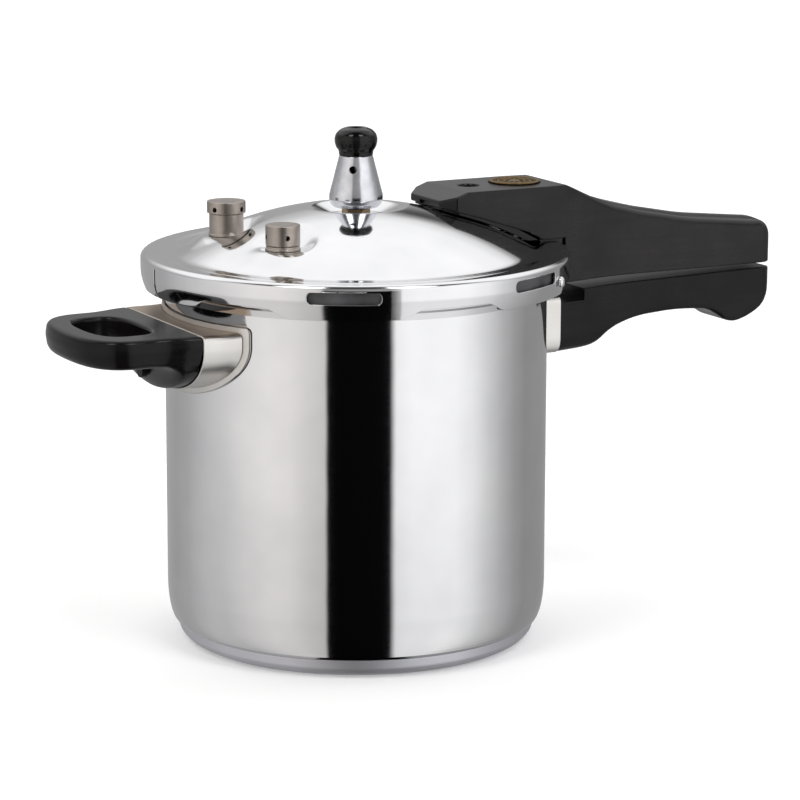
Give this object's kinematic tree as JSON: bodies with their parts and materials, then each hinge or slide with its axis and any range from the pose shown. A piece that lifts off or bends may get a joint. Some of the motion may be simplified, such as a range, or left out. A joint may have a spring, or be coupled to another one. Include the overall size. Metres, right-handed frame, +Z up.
{
  "type": "stovetop pressure cooker",
  "caption": "Tall steel pressure cooker with a locked bayonet lid, a long black two-part handle, a helper handle, a regulator weight and safety valves.",
  "frame": {"origin": "centre of the pot's resting face", "axes": "+Z up along the pot's axis, +X along the long handle, away from the pot"},
  "size_m": [0.4228, 0.227, 0.272],
  "materials": {
    "polished_steel": "mirror-polished stainless steel",
    "turned_steel": "turned and polished stainless steel",
    "satin_steel": "brushed stainless steel",
    "valve_steel": "satin grey stainless steel",
    "aluminium_core": "bare pressed aluminium",
    "brass": "turned brass",
    "medallion_brass": "gilt disc with a plain ring pattern",
    "phenolic": "black phenolic, moulded semi-gloss",
    "knob_black": "black phenolic, high gloss",
    "silicone": "black silicone",
    "red_plastic": "red plastic"
  },
  "bodies": {
    "pot": {"pot_shell": "polished_steel", "base_core": "aluminium_core", "base_cap": "satin_steel", "lower_sleeve": "satin_steel", "lower_handle": "phenolic", "lower_handle_screw": "satin_steel", "helper_plate": "satin_steel", "helper_sleeve": "satin_steel", "helper_handle": "phenolic", "helper_handle_screw": "satin_steel"},
    "lid": {"lid_shell": "polished_steel", "skirt_rivet": "polished_steel", "lid_gasket": "silicone", "vent_pipe": "satin_steel", "vent_seal": "silicone", "vent_nut": "brass", "vent_screen": "satin_steel", "float_bush": "brass", "float_seal": "silicone", "float_nut": "brass", "upper_handle": "phenolic", "lid_bracket": "satin_steel", "lid_stud": "satin_steel", "stud_screw": "satin_steel", "tongue_screw": "satin_steel", "medallion": "medallion_brass", "valve_a_body": "valve_steel", "valve_a_seal": "silicone", "valve_a_nut": "valve_steel", "valve_a_cap": "valve_steel", "valve_a_spring": "satin_steel", "valve_b_body": "valve_steel", "valve_b_seal": "silicone", "valve_b_nut": "valve_steel", "valve_b_cap": "valve_steel", "valve_b_spring": "satin_steel"},
    "weight": {"weight_body": "turned_steel", "weight_needle": "satin_steel", "weight_knob": "knob_black"},
    "float": {"float_pin": "red_plastic"},
    "plunger_a": {"valve_a_plunger": "satin_steel"},
    "plunger_b": {"valve_b_plunger": "satin_steel"}
  },
  "joints": [
    {"name": "lid_turn", "type": "hinge", "parent": "pot", "child": "lid", "pos_m": [0, 0, 0.19], "axis": [0, 0, 1], "range_deg": [0, 30]},
    {"name": "weight_lift", "type": "slide", "parent": "lid", "child": "weight", "axis": [0, 0, 1], "range_m": [0, 0.028]},
    {"name": "float_rise", "type": "slide", "parent": "lid", "child": "float", "axis": [0, 0, 1], "range_m": [0, 0.005]},
    {"name": "valve_a_lift", "type": "slide", "parent": "lid", "child": "plunger_a", "axis": [0, 0, 1], "range_m": [0, 0.002], "stiffness_N_per_m": 300, "springref_m": -0.003, "deforming": ["valve_a_spring"]},
    {"name": "valve_b_lift", "type": "slide", "parent": "lid", "child": "plunger_b", "axis": [0, 0, 1], "range_m": [0, 0.002], "stiffness_N_per_m": 300, "springref_m": -0.003, "deforming": ["valve_b_spring"]}
  ]
}
